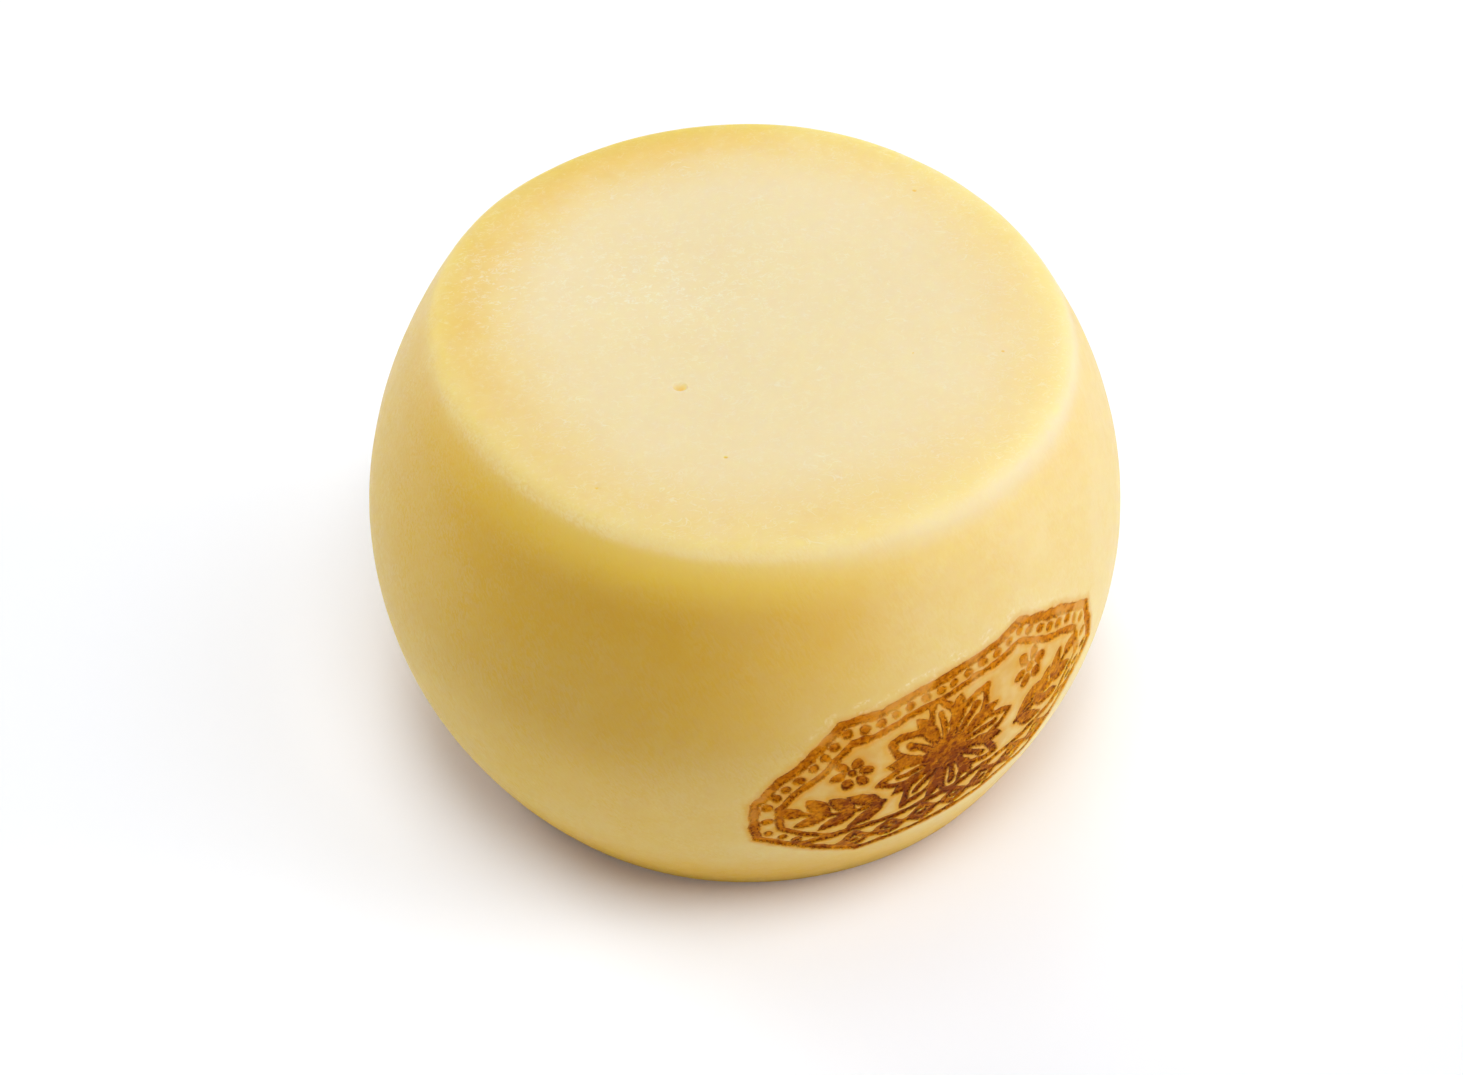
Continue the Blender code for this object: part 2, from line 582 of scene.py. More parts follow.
@dataclass(frozen=True)
class LeafSprig:
    """A bent stem with pairs of leaves, one on each side of the rosette."""

    root_mm: tuple[float, float] = (13.4, -3.4)
    tip_mm: tuple[float, float] = (27.4, 0.6)
    sag_mm: float = 1.2
    leaf_pairs: int = 3
    leaf_length_mm: tuple[float, float] = (8.0, 4.8)
    leaf_half_width_mm: float = 1.5
    leaf_angle: float = math.radians(40)
    end_leaf_overlap_mm: float = 1.0

    def stem(self, share: float) -> tuple[float, float]:
        """Follow the stem.

        Args:
            share: the share of its length that is followed.

        Returns:
            How far along and how far up the plate that leads.
        """
        (root_u, root_v), (tip_u, tip_v) = self.root_mm, self.tip_mm
        sag = 4 * self.sag_mm * share * (1 - share)
        return root_u + share * (tip_u - root_u), root_v + share * (tip_v - root_v) - sag

    def strokes(self, u: Array, v: Array) -> list[Array]:
        """Draw both sprigs.

        Args:
            u: how far each place lies along the plate.
            v: how far each place lies up the plate.

        Returns:
            The signed distance to each of their strokes.
        """
        side = np.abs(u)
        steps = 2 * self.leaf_pairs
        stops = [self.stem(step / steps) for step in range(steps + 1)]
        found = [line(side, v, start, end, Stroke.FINE) for start, end in zip(stops, stops[1:])]
        for pair in range(self.leaf_pairs):
            (start_u, start_v), (next_u, next_v) = stops[2 * pair : 2 * pair + 2]
            heading = math.atan2(next_v - start_v, next_u - start_u)
            length = np.interp(pair / self.leaf_pairs, (0.0, 1.0), self.leaf_length_mm)
            for lean in (-self.leaf_angle, self.leaf_angle):
                along, across = turned(side - start_u, v - start_v, heading + lean)
                found.append(leaf(along, across, 0.0, length, self.leaf_half_width_mm))
        along, across = turned(side - stops[-1][0], v - stops[-1][1], heading)
        end_length = self.leaf_length_mm[1] - self.end_leaf_overlap_mm
        found.append(leaf(along, across, -self.end_leaf_overlap_mm, end_length, self.leaf_half_width_mm))
        return found


@dataclass(frozen=True)
class Blossom:
    """A small flower above each sprig."""

    middle_mm: tuple[float, float] = (17.8, 7.2)
    radius_mm: float = 3.8
    petals: int = 6
    petal_start_mm: float = 1.2
    petal_half_width_mm: float = 0.95
    core_radius_mm: float = 0.8

    def strokes(self, u: Array, v: Array) -> list[Array]:
        """Draw both flowers.

        Args:
            u: how far each place lies along the plate.
            v: how far each place lies up the plate.

        Returns:
            The signed distance to each of their strokes.
        """
        side, up = np.abs(u) - self.middle_mm[0], v - self.middle_mm[1]
        found = [np.hypot(side, up) - self.core_radius_mm]
        for petal in range(self.petals):
            along, across = turned(side, up, math.tau * petal / self.petals)
            found.append(leaf(along, across, self.petal_start_mm, self.radius_mm, self.petal_half_width_mm))
        return found


@dataclass(frozen=True)
class LozengeBand:
    """A row of lozenges with a dot in each, under a plain line, along the foot of the frame."""

    top_mm: float = -9.6
    middle_mm: float = -13.9
    half_length_mm: float = 28.0
    lozenges: int = 7
    pitch_mm: float = 6.2
    lozenge_half_mm: tuple[float, float] = (2.5, 2.7)
    dot_radius_mm: float = 0.9

    def strokes(self, u: Array, v: Array) -> list[Array]:
        """Draw the band.

        Args:
            u: how far each place lies along the plate.
            v: how far each place lies up the plate.

        Returns:
            The signed distance to each of its strokes.
        """
        ends = (-self.half_length_mm, self.top_mm), (self.half_length_mm, self.top_mm)
        found = [line(u, v, *ends, Stroke.PLAIN)]
        half_u, half_v = self.lozenge_half_mm
        for place in range(self.lozenges):
            away_u = u - self.pitch_mm * (place - (self.lozenges - 1) / 2)
            away_v = v - self.middle_mm
            across = np.abs(away_u) * half_v + np.abs(away_v) * half_u - half_u * half_v
            found.append(outline(across / math.hypot(half_u, half_v), Stroke.PLAIN))
            found.append(np.hypot(away_u, away_v) - self.dot_radius_mm)
            found.append(np.hypot(away_u - self.pitch_mm / 2, away_v) - self.dot_radius_mm)
        return found


@dataclass(frozen=True)
class Plaque:
    """The long eight-sided frame, with an inner line and a row of beads above the band."""

    half_width_mm: float = 34.5
    half_height_mm: float = 18.3
    corner_mm: tuple[float, float] = (17.5, 5.2)
    inner_gap_mm: float = 4.0
    inner_from_mm: float = -9.6
    bead_pitch_mm: float = 2.9
    bead_radius_mm: float = 0.80

    def corners(self) -> list[tuple[float, float]]:
        """Return the frame's corners in the first quarter, from the right side to the top."""
        return [(self.half_width_mm, self.corner_mm[1]), (self.corner_mm[0], self.half_height_mm)]

    def edge(self, u: Array, v: Array) -> Array:
        """Measure to the frame's outer edge.

        Args:
            u: how far each place lies along the plate.
            v: how far each place lies up the plate.

        Returns:
            The signed distance of each place to the edge, below 0 inside the frame.
        """
        (right_u, right_v), (top_u, top_v) = self.corners()
        slope = math.hypot(right_u - top_u, top_v - right_v)
        cut = (np.abs(u) - right_u) * (top_v - right_v) + (np.abs(v) - right_v) * (right_u - top_u)
        flat = np.maximum(np.abs(u) - self.half_width_mm, np.abs(v) - self.half_height_mm)
        return np.maximum(flat, cut / slope)

    def beads(self, u: Array, v: Array) -> Array:
        """Draw the row of beads halfway between the frame's lines.

        Args:
            u: how far each place lies along the plate.
            v: how far each place lies up the plate.

        Returns:
            The signed distance of each place to the nearest bead.
        """
        found = np.full(len(u), np.inf)
        shrink = self.inner_gap_mm / 2
        (right_u, right_v), (top_u, top_v) = self.corners()
        half_turn = math.atan2(right_u - top_u, top_v - right_v) / 2
        right = (right_u - shrink, right_v - shrink * math.tan(half_turn))
        top = (top_u - shrink * math.tan(math.pi / 4 - half_turn), top_v - shrink)
        path = [(right[0], 0.0), right, top, (0.0, top[1])]
        for start, end in zip(path, path[1:]):
            count = max(1, round(math.dist(start, end) / self.bead_pitch_mm))
            for bead_u, bead_v in np.linspace(start, end, count + 1):
                found = np.minimum(found, np.hypot(np.abs(u) - bead_u, np.abs(v) - bead_v))
        return found - self.bead_radius_mm

    def strokes(self, u: Array, v: Array) -> list[Array]:
        """Draw the frame.

        Args:
            u: how far each place lies along the plate.
            v: how far each place lies up the plate.

        Returns:
            The signed distance to each of its strokes.
        """
        edge = self.edge(u, v)
        below = self.inner_from_mm - v
        inner = np.maximum(outline(edge + self.inner_gap_mm, Stroke.FINE), below)
        return [outline(edge, Stroke.PLAIN), inner, np.maximum(self.beads(u, v), below)]


@dataclass(frozen=True)
class HotIronMark:
    """A plain ornament burnt into the side: a rosette, leaf sprigs and a band of lozenges in a beaded frame.

    Its grooves are sunk and have a slightly raised lip, as a hot iron leaves them. The u and v of a place
    are how far it lies along and up the iron's own flat plate, in millimetres.
    """

    bearing: float = math.radians(-58)
    height_mm: float = -4.0
    tilt: float = math.radians(9)
    plaque: Plaque = Plaque()
    sprigs: LeafSprig = LeafSprig()
    blossoms: Blossom = Blossom()
    rosette: Rosette = Rosette()
    band: LozengeBand = LozengeBand()
    margin_mm: float = 4.0
    reach_mm: float = 3.0
    pressed_rise: Span = Span(1.0, -2.5)
    groove_depth_mm: float = 0.30
    groove_rise: Span = Span(0.225, -0.225)
    lip_height_mm: float = 0.06
    lip_place_mm: float = 0.55
    lip_width_mm: float = 0.35
    wobble_mm: float = 0.34
    wobble_size_mm: float = 1.9
    wobble_seed: float = 0.0
    slip_mm: float = 0.9
    slip_size_mm: float = 8.0
    slip_seeds: tuple[float, float] = (3.0, 7.0)
    flake_places_mm: tuple[float, ...] = (1.7, 2.8)
    flake_width_mm: float = 0.30
    flake_wave_mm: float = 1.1
    flake_run_mm: float = 5.0
    flake_breaks: float = 1.7
    flake_seeds: tuple[float, float] = (0.0, 9.0)
    flake_rise: Span = Span(-0.15, 0.2)
    flake_middle_mm: float = -2.0
    flake_reach_mm: float = 24.0
    flake_from_mm: float = -3.0
    heat_middle_mm: tuple[float, float] = (-7.0, -7.0)
    heat_size_mm: tuple[float, float] = (27.0, 14.0)

    def spread(self, form: CheeseForm, along: Array, bearing: Array) -> tuple[Array, Array]:
        """Find places of the rind on the iron's plate.

        Args:
            form: the cheese's form.
            along: each place's distance along the rind.
            bearing: each place's bearing.

        Returns:
            How far each place lies along the plate, and how far up it.
        """
        u = form.radius_at(along) * turn_from(bearing, self.bearing) / MM
        v = (form.belly - along) / MM - self.height_mm
        return turned(u, v, self.tilt)

    def covers(self, form: CheeseForm, along: float, bearing: float) -> bool:
        """Say whether a place on the rind is under the iron or just beside it."""
        u, v = self.spread(form, np.array([along]), np.array([bearing]))
        return bool(self.plaque.edge(u, v)[0] < self.margin_mm)

    def pressed(self, u: Array, v: Array) -> Array:
        """Return how much the iron's plate has pressed each place, from 0 to 1."""
        return self.pressed_rise.at(self.plaque.edge(u, v))

    def lifted(self, u: Array, v: Array) -> Array:
        """Find thin flakes of the skin just above the plate.

        Args:
            u: how far each place lies along the plate.
            v: how far each place lies up the plate.

        Returns:
            How much of a flake lies at each place, from 0 to 1.
        """
        edge = self.plaque.edge(u, v)
        near = (edge > 0) & (edge < 2 * self.margin_mm)
        spots = u[near] / self.flake_run_mm
        wave_seed, break_seed = self.flake_seeds
        found = np.zeros(len(u))
        for row, place_mm in enumerate(self.flake_places_mm):
            middle = place_mm + self.flake_wave_mm * noise_at(spots, row, wave_seed)
            whole = self.flake_rise.at(noise_at(spots * self.flake_breaks, row, break_seed))
            flake = bell(edge[near] - middle, self.flake_width_mm) * whole
            found[near] = np.maximum(found[near], flake)
        found *= bell(u - self.flake_middle_mm, self.flake_reach_mm)
        return np.where(v > self.flake_from_mm, found, 0.0)

    def heat(self, u: Array, v: Array) -> Array:
        """Return how hard the hot iron was pressed at each place, from 0 to 1."""
        along = bell(u - self.heat_middle_mm[0], self.heat_size_mm[0])
        return along * bell(v - self.heat_middle_mm[1], self.heat_size_mm[1])

    def slipped(self, u: Array, v: Array) -> tuple[Array, Array]:
        """Let the iron slip a little on the round side.

        Args:
            u: how far each place lies along the plate.
            v: how far each place lies up the plate.

        Returns:
            The u and v at which the iron touches each place.
        """
        spots = (u / self.slip_size_mm, v / self.slip_size_mm)
        aside, up = (self.slip_mm * noise_at(*spots, seed) for seed in self.slip_seeds)
        return u + aside, v + up

    def strokes(self, u: Array, v: Array) -> Array:
        """Return the signed distance to the nearest stroke."""
        parts = (self.plaque, self.sprigs, self.blossoms, self.rosette, self.band)
        return np.minimum.reduce([stroke for part in parts for stroke in part.strokes(u, v)])

    def edge_mm(self, u: Array, v: Array) -> Array:
        """Measure to the edge of the nearest stroke, as it came out in the rind.

        Args:
            u: how far each place lies along the plate.
            v: how far each place lies up the plate.

        Returns:
            The signed distance of each place to that edge, below 0 inside the stroke.
        """
        near = self.plaque.edge(u, v) < 2 * self.reach_mm
        found = np.full(len(u), self.reach_mm)
        u, v = self.slipped(u[near], v[near])
        wobble = noise_at(u / self.wobble_size_mm, v / self.wobble_size_mm, self.wobble_seed)
        distance = self.strokes(u, v) + self.wobble_mm * wobble
        found[near] = np.clip(distance, -self.reach_mm, self.reach_mm)
        return found

    def relief_mm(self, edge_mm: Array) -> Array:
        """Return how far the iron moves the rind outwards, from the distance to a stroke's edge."""
        lip = bell(edge_mm - self.lip_place_mm, self.lip_width_mm)
        return self.lip_height_mm * lip - self.groove_depth_mm * self.groove_rise.at(edge_mm)


# --- Curd pits, soft relief and tint -----------------------------------------------------------------------


@dataclass(frozen=True)
class CurdPit:
    """A small hole that a gas bubble or a whey drop left in the top face.

    It slants down to a steep end, and its skirt is how many half lengths round it need a fine surface.
    """

    x_mm: float
    y_mm: float
    half_length_mm: float
    half_width_mm: float
    depth_mm: float
    turn: float = 0.0
    slant: float = 0.7
    # How fully the pit colours cover each pit; the darker one lies towards its bottom.
    color_share: float = 1.0
    skirt: float = 2.6

    def depth_share(self, places: Array) -> Array:
        """Hollow out the pit.

        Args:
            places: the x, y and z of each place.

        Returns:
            How deep in the pit each place is, from 0 to 1.
        """
        u, v = turned(places[:, 0] / MM - self.x_mm, places[:, 1] / MM - self.y_mm, self.turn)
        away = np.hypot(u / self.half_length_mm, v / self.half_width_mm)
        bowl = np.sqrt(np.clip(1 - away**2, 0.0, 1.0))
        steep = 1 + self.slant * np.clip(-v / self.half_width_mm, -1.0, 1.0)
        on_top = places[:, 2] > CAD_BOX[1].z / 2
        return np.where(on_top, bowl * steep / (1 + self.slant), 0.0)

    def relief_mm(self, places: Array) -> Array:
        """Return how far the pit moves the rind outwards."""
        return -self.depth_mm * self.depth_share(places)


@dataclass(frozen=True)
class SoftRelief:
    """The gentle unevenness that hands, a cloth and drying leave: layers of noise, by size and height."""

    layers_mm: tuple[tuple[float, float], ...] = ((26.0, 0.16), (9.0, 0.05), (3.6, 0.02))

    def relief_mm(self, places: Array) -> Array:
        """Return how far the unevenness moves each place outwards."""
        layers = self.layers_mm
        return sum(height_mm * noise_at(*places.T / (size_mm * MM)) for size_mm, height_mm in layers)


@dataclass(frozen=True)
class RindTint:
    """Where the rind is paler and where it is golden, with painted light and shade laid into it.

    Gold is 0 for cream and 1 for amber. Spans are in millimetres along the rind from the edge of the top
    face, and the two starts near the foot are in millimetres above the foot's edge.
    """

    middle: float = 0.02
    ring: float = 0.38
    ring_rise: Span = Span(-19.0, -1.5)
    # Painted light and shade round the top rim: paler on the lit right, more golden on the left and back
    # left.
    ring_gold_and_shade: tuple[Patch, ...] = (
        Patch(math.radians(185), math.radians(38), 0.23),
        Patch(math.radians(115), math.radians(40), 0.28),
        Patch(math.radians(-10), math.radians(35), -0.10),
    )
    side: float = 0.38
    side_rise: Span = Span(2.8, 6.2)
    side_fade: Span = Span(18.0, 44.0, 1.0, 0.78)
    # The first patch is painted shade: the front-left side, which gets little light, turns darker gold. The
    # second, at the back, only varies the tone.
    side_gold_and_shade: tuple[Patch, ...] = (
        Patch(math.radians(-136), math.radians(46), 0.50),
        Patch(math.radians(75), math.radians(45), 0.22),
    )
    late_rise: Span = Span(2.8, 15.0)
    late_fade: Span = Span(18.0, 44.0, 1.0, 0.5)
    # Painted shade: darker gold on the dim front just below the rim.
    front_shade_patch: Patch = Patch(math.radians(-89), math.radians(28), 0.33)
    foot_gold: float = 0.50
    foot_gold_start_mm: float = 22.0
    # Deeper orange towards the foot, and on the side at the right and at the left.
    foot_orange: float = 0.90
    foot_orange_start_mm: float = 25.0
    side_orange_patches: tuple[Patch, ...] = (
        Patch(math.radians(0), math.radians(38), 0.13),
        Patch(math.radians(-175), math.radians(36), 0.11),
    )
    # Painted glow: a lemon yellow belt just below the rim at the front left, where light shines through the
    # rim.
    lemon_rise: Span = Span(3.2, 4.4)
    lemon_fade: Span = Span(7.0, 15.0, 1.0, 0.0)
    glow_patch: Patch = Patch(math.radians(-108), math.radians(44), 0.8)
    # Painted shade: brown below the rim at the front left, where little light falls, and from the top face's
    # far rim at the back left down the side there.
    brown_rise: Span = Span(6.0, 15.0)
    brown_fade: Span = Span(35.0, 52.0, 1.0, 0.30)
    under_rim_shade_patch: Patch = Patch(math.radians(-109), math.radians(33), 0.52)
    edge_brown_rise: Span = Span(-5.0, 1.5)
    far_rim_shade_patch: Patch = Patch(math.radians(112), math.radians(48), 0.34)
    # Painted highlight: a pale line along the crest of the top rim, strongest on the lit right side.
    crest_highlight: float = 0.07
    crest_place_mm: float = 4.1
    crest_width_mm: float = 2.5
    lit_crest_patch: Patch = Patch(math.radians(-38), math.radians(42), 0.30)
    # The crinkles are strongest on the left side, where light rakes across them; their painted light and
    # shade is strongest there too, along with their bump.
    crinkle: float = 0.22
    raking_light_patch: Patch = Patch(math.radians(-158), math.radians(58), 0.60)
    clouds_mm: tuple[tuple[float, float, float, float], ...] = (
        (-13.0, 6.0, 20.0, 13.0),
        (-44.0, 8.0, 7.0, 16.0),
    )

    def values(self, form: CheeseForm, along: Array, bearing: Array, places: Array) -> dict[str, Array]:
        """Work out what the finish reads at each place.

        Args:
            form: the cheese's form.
            along: each place's distance along the rind.
            bearing: each place's bearing.
            places: each place's x, y and z.

        Returns:
            The values, under the names that the finish reads them by.
        """
        beyond = (along - form.face_end) / MM
        gold_rise = Span(-self.foot_gold_start_mm, form.foot_turn_mm, 0.0, self.foot_gold)
        foot_orange_rise = Span(-self.foot_orange_start_mm, form.foot_turn_mm, 0.0, self.foot_orange)
        below = (along - form.foot_edge_start) / MM
        orange_sides = together(self.side_orange_patches, bearing) * self.side_rise.at(beyond)
        # Painted shade below the front-left rim.
        painted_shade = self.under_rim_shade_patch.at(bearing) * self.brown_rise.at(beyond) * self.brown_fade.at(beyond)
        # The painted highlight on the rim's crest, stronger on the lit right side.
        crest_highlight = self.crest_highlight + self.lit_crest_patch.at(bearing)
        return {
            "gold": self._gold(beyond, bearing, gold_rise.at(below)),
            "deep_orange": np.maximum(foot_orange_rise.at(below), orange_sides),
            # The painted glow just below the front-left rim.
            "painted_glow": self.glow_patch.at(bearing) * self.lemon_rise.at(beyond) * self.lemon_fade.at(beyond),
            "painted_shade": painted_shade + self.far_rim_shade_patch.at(bearing) * self.edge_brown_rise.at(beyond),
            "crest_highlight": crest_highlight * bell(beyond - self.crest_place_mm, self.crest_width_mm),
            "crinkled": self.crinkle + self.raking_light_patch.at(bearing),
            "dense": self._dense(places),
        }

    def _gold(self, beyond: Array, bearing: Array, near_foot: Array) -> Array:
        """Work out how golden the rind is.

        Args:
            beyond: how far each place lies beyond the top face's edge, in millimetres.
            bearing: each place's bearing.
            near_foot: the gold that the turn to the foot adds there.

        Returns:
            The gold at each place.
        """
        # The ring's patches are painted light and shade, paler where the lamps fall.
        ring = self.ring + together(self.ring_gold_and_shade, bearing)
        top = self.middle + (ring - self.middle) * self.ring_rise.at(beyond)
        late = self.front_shade_patch.at(bearing) * self.late_rise.at(beyond) * self.late_fade.at(beyond)
        # Partly painted shade: the side turns more golden where it gets less light.
        patches = together(self.side_gold_and_shade, bearing) + late
        side = self.side + patches * self.side_fade.at(beyond) + near_foot
        return top + (side - top) * self.side_rise.at(beyond)

    def _dense(self, places: Array) -> Array:
        """Gather fine threads in a few oval clouds.

        Args:
            places: the x, y and z of each place.

        Returns:
            How densely the threads lie at each place.
        """
        found = np.zeros(len(places))
        for middle_x, middle_y, half_x, half_y in self.clouds_mm:
            found += bell(places[:, 0] / MM - middle_x, half_x) * bell(places[:, 1] / MM - middle_y, half_y)
        return found


# --- Finishes ----------------------------------------------------------------------------------------------


@dataclass(frozen=True)
class Color:
    """A colour's red, green and blue."""

    red: float
    green: float
    blue: float

    def rgba(self) -> tuple[float, float, float, float]:
        """Return the colour with full cover."""
        return self.red, self.green, self.blue, 1.0


@dataclass(frozen=True)
class Pattern:
    """A soft noise: the size of its features, how many finer layers it has, its twist and its spread.

    The noise itself lies between 0 and 1. The spread, if there is one, says what its values become.
    """

    size_mm: float
    detail: float = 2.0
    twist: float = 0.0
    spread: Span | None = None


class Value:
    """What a node works out at each place. Sums, differences and products of values add Math nodes."""

    def __init__(self, wiring: "Wiring", socket: Socket) -> None:
        """Take what a node gives at one of its outputs."""
        self.wiring = wiring
        self.socket = socket

    def __add__(self, other: "Value | float") -> "Value":
        """Return this value plus another."""
        return self.wiring.math("ADD", self, other)

    def __sub__(self, other: "Value | float") -> "Value":
        """Return this value less another."""
        return self.wiring.math("SUBTRACT", self, other)

    def __rsub__(self, other: float) -> "Value":
        """Return a number less this value."""
        return self.wiring.math("SUBTRACT", other, self)

    def __mul__(self, other: "Value | float") -> "Value":
        """Return this value times another."""
        return self.wiring.math("MULTIPLY", self, other)

    def __abs__(self) -> "Value":
        """Return this value without its sign."""
        return self.wiring.math("ABSOLUTE", self)

    def through(self, span: Span) -> "Value":
        """Return what a span makes of this value."""
        entries = {0: self, 1: span.low, 2: span.high, 3: span.start, 4: span.end}
        return self.wiring.result("MapRange", entries, interpolation_type="SMOOTHSTEP")


class Wiring:
    """A material's node tree, with short ways to add the nodes that the finishes use."""

    def __init__(self, name: str) -> None:
        """Start a material.

        Args:
            name: the material's name.
        """
        self.material = bpy.data.materials.new(name)
        self.material.use_nodes = True
        self.tree = self.material.node_tree
        self.shader = self.tree.nodes["Principled BSDF"]

    def node(self, kind: str, **settings: object) -> bpy.types.Node:
        """Add a node.

        Args:
            kind: the node's type, without the words that all shader nodes start with.
            settings: the properties to set on it.

        Returns:
            The node.
        """
        made = self.tree.nodes.new(f"ShaderNode{kind}")
        for name, value in settings.items():
            setattr(made, name, value)
        return made

    def feed(self, node: bpy.types.Node, entries: dict) -> None:
        """Set a node's inputs.

        Args:
            node: the node.
            entries: what goes into each input, by its name or place: a value or a plain setting.
        """
        for name, entry in entries.items():
            if isinstance(entry, Value):
                self.tree.links.new(entry.socket, node.inputs[name])
            elif isinstance(entry, Color):
                node.inputs[name].default_value = entry.rgba()
            else:
                node.inputs[name].default_value = entry

    def result(self, kind: str, entries: dict, output: int = 0, **settings: object) -> Value:
        """Add a node, feed it and take what it works out.

        Args:
            kind: the node's type.
            entries: what goes into its inputs.
            output: the place of the output to take.
            settings: the properties to set on it.

        Returns:
            What the node gives at that output.
        """
        made = self.node(kind, **settings)
        self.feed(made, entries)
        return Value(self, made.outputs[output])

    def math(self, operation: str, first: Value | float, second: Value | float = 0.0) -> Value:
        """Return the result of a Math node."""
        return self.result("Math", {0: first, 1: second}, operation=operation)

    def mix(self, share: Value, under: Value, over: Value | Color) -> Value:
        """Return a colour with a share of another over it."""
        return self.result("Mix", {"Factor": share, 6: under, 7: over}, 2, data_type="RGBA")

    def ramp(self, value: Value, colors: tuple[Color, ...]) -> Value:
        """Pick colours from an even row of them.

        Args:
            value: where in the row the colour is, from 0 to 1.
            colors: the row.

        Returns:
            The colour at each place.
        """
        made = self.node("ValToRGB")
        stops = made.color_ramp.elements
        while len(stops) < len(colors):
            stops.new(0.5)
        for stop, share, color in zip(stops, np.linspace(0.0, 1.0, len(colors)), colors):
            stop.position = share
            stop.color = color.rgba()
        self.feed(made, {0: value})
        return Value(self, made.outputs[0])

    @cached_property
    def place(self) -> Value:
        """Return the place on the piece, in millimetres."""
        metres = Value(self, self.node("TexCoord").outputs["Object"])
        return self.result("Mapping", {"Vector": metres, "Scale": (1 / MM,) * 3})

    def drawn_out(self, stretch: Triple, turn: Triple) -> Value:
        """Return a place at which patterns come out drawn out along the axes of a turned frame."""
        entries = {"Vector": self.place, "Scale": stretch, "Rotation": turn}
        return self.result("Mapping", entries, vector_type="TEXTURE")

    def noise(self, pattern: Pattern, place: Value | None = None) -> Value:
        """Lay a pattern over the piece.

        Args:
            pattern: the pattern.
            place: where it is read, if that isn't the place on the piece.

        Returns:
            The pattern's value at each place.
        """
        entries = {"Scale": 1 / pattern.size_mm, "Detail": pattern.detail, "Distortion": pattern.twist}
        found = self.result("TexNoise", {"Vector": place or self.place, **entries})
        return found.through(pattern.spread) if pattern.spread else found

    def centred(self, pattern: Pattern, place: Value | None = None) -> Value:
        """Return a pattern's value at each place, moved down so that its middle is 0."""
        return self.noise(pattern, place) - NOISE_MIDDLE

    def attribute(self, name: str) -> Value:
        """Return a value that the mesh holds for each corner."""
        return Value(self, self.node("Attribute", attribute_name=name).outputs["Fac"])


